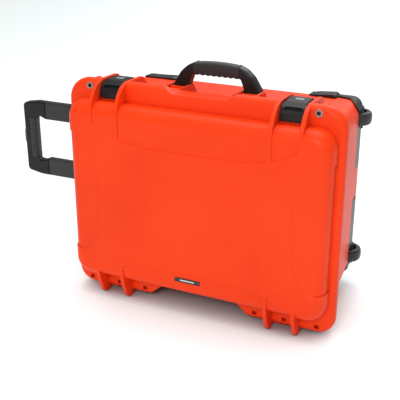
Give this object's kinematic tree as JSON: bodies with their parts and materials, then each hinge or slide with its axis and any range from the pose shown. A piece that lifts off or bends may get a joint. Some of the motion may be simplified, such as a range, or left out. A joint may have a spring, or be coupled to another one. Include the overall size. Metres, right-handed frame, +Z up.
{
  "type": "hard equipment case",
  "caption": "Hard moulded equipment case with a hinged lid, lever latches, folding carry handle, pull-out trolley handle and corner wheels.",
  "frame": {"origin": "on the plane the case stands on when it is stood on its hinge side, at mid length of the rim, on the parting plane between lid and base", "axes": "+X along the case towards its wheels (the trolley handle pulls out towards -X), +Y from the lid's front to the base's back, +Z up, from the hinges to the latches"},
  "size_m": [0.9075, 0.3137, 0.5217],
  "materials": {
    "orange_shell": "fine moulded texture, satin",
    "black_plastic": "fine moulded texture, satin",
    "grey_plastic": "smooth satin",
    "soft_grip": "soft matt overmoulding",
    "seal_rubber": "smooth matt",
    "tread": "matt polyurethane",
    "label": "plain badge without lettering, with a fine raised border",
    "black_metal": "black powder coat",
    "steel": "zinc-plated or stainless"
  },
  "bodies": {
    "base": {"base_shell": "orange_shell", "base_padlock_bushes": "steel", "hinge_pins": "steel", "latch_pins": "steel", "pressure_valve_body": "black_plastic", "pressure_valve_cap": "black_plastic", "pressure_valve_seal": "seal_rubber", "pressure_valve_nut": "black_plastic", "carry_handle_pins": "steel", "trolley_frame": "black_plastic", "trolley_frame_screws": "steel", "wheel_housing_upper": "black_plastic", "wheel_housing_lower": "black_plastic", "wheel_housing_screws": "steel", "foot_upper": "black_plastic", "foot_lower": "black_plastic", "foot_screws": "steel", "wheel_upper_axle": "steel", "wheel_lower_axle": "steel"},
    "lid": {"lid_shell": "orange_shell", "lid_gasket": "seal_rubber", "lid_padlock_bushes": "steel", "label_plate": "label"},
    "latch_left": {"latch_left_lever": "black_plastic", "latch_left_spring": "steel"},
    "latch_right": {"latch_right_lever": "black_plastic", "latch_right_spring": "steel"},
    "latch_left_button": {"latch_left_button": "grey_plastic"},
    "latch_right_button": {"latch_right_button": "grey_plastic"},
    "carry_handle": {"carry_handle_core": "black_plastic", "carry_handle_grip": "soft_grip"},
    "trolley": {"trolley_grip": "black_plastic", "trolley_grip_pad": "soft_grip", "trolley_arms": "black_metal", "trolley_arm_caps": "black_plastic", "trolley_arm_screws": "steel", "trolley_release_spring": "steel", "trolley_bolt_springs": "steel"},
    "trolley_release": {"trolley_release_button": "grey_plastic", "trolley_pull_rods": "steel"},
    "trolley_bolt_upper": {"trolley_bolt_upper": "steel"},
    "trolley_bolt_lower": {"trolley_bolt_lower": "steel"},
    "wheel_upper": {"wheel_upper_tyre": "tread", "wheel_upper_hub": "black_plastic", "wheel_upper_bearings": "steel", "wheel_upper_spacer": "steel"},
    "wheel_lower": {"wheel_lower_tyre": "tread", "wheel_lower_hub": "black_plastic", "wheel_lower_bearings": "steel", "wheel_lower_spacer": "steel"}
  },
  "joints": [
    {"name": "lid_hinge", "type": "hinge", "parent": "base", "child": "lid", "pos_m": [0, 0, 0.006], "axis": [1, 0, 0], "range_deg": [0, 105]},
    {"name": "latch_left_hinge", "type": "hinge", "parent": "base", "child": "latch_left", "pos_m": [-0.195, 0.034, 0.474], "axis": [-1, 0, 0], "range_deg": [0, 100]},
    {"name": "latch_right_hinge", "type": "hinge", "parent": "base", "child": "latch_right", "pos_m": [0.195, 0.034, 0.474], "axis": [-1, 0, 0], "range_deg": [0, 100]},
    {"name": "latch_left_button_slide", "type": "slide", "parent": "latch_left", "child": "latch_left_button", "axis": [0, 0, -1], "range_m": [0, 0.0025], "stiffness_N_per_m": 400, "springref_m": -0.002},
    {"name": "latch_right_button_slide", "type": "slide", "parent": "latch_right", "child": "latch_right_button", "axis": [0, 0, -1], "range_m": [0, 0.0025], "stiffness_N_per_m": 400, "springref_m": -0.002},
    {"name": "carry_handle_hinge", "type": "hinge", "parent": "base", "child": "carry_handle", "pos_m": [0, 0.079, 0.458], "axis": [-1, 0, 0], "range_deg": [0, 86]},
    {"name": "trolley_slide", "type": "slide", "parent": "base", "child": "trolley", "axis": [1, 0, 0], "range_m": [0, 0.335]},
    {"name": "trolley_release_slide", "type": "slide", "parent": "trolley", "child": "trolley_release", "axis": [1, 0, 0], "range_m": [0, 0.004], "stiffness_N_per_m": 800, "springref_m": -0.003},
    {"name": "trolley_bolt_upper_slide", "type": "slide", "parent": "trolley", "child": "trolley_bolt_upper", "axis": [0, 0, -1], "range_m": [0, 0.004]},
    {"name": "trolley_bolt_lower_slide", "type": "slide", "parent": "trolley", "child": "trolley_bolt_lower", "axis": [0, 0, 1], "range_m": [0, 0.004]},
    {"name": "wheel_upper_spin", "type": "hinge", "parent": "base", "child": "wheel_upper", "pos_m": [0.259, 0.224, 0.4], "axis": [0, 0, 1], "continuous": true},
    {"name": "wheel_lower_spin", "type": "hinge", "parent": "base", "child": "wheel_lower", "pos_m": [0.259, 0.224, 0.084], "axis": [0, 0, 1], "continuous": true}
  ],
  "couplings": [
    {"joint": "trolley_bolt_upper_slide", "follows": "trolley_release_slide", "ratio": 1},
    {"joint": "trolley_bolt_lower_slide", "follows": "trolley_release_slide", "ratio": 1}
  ]
}
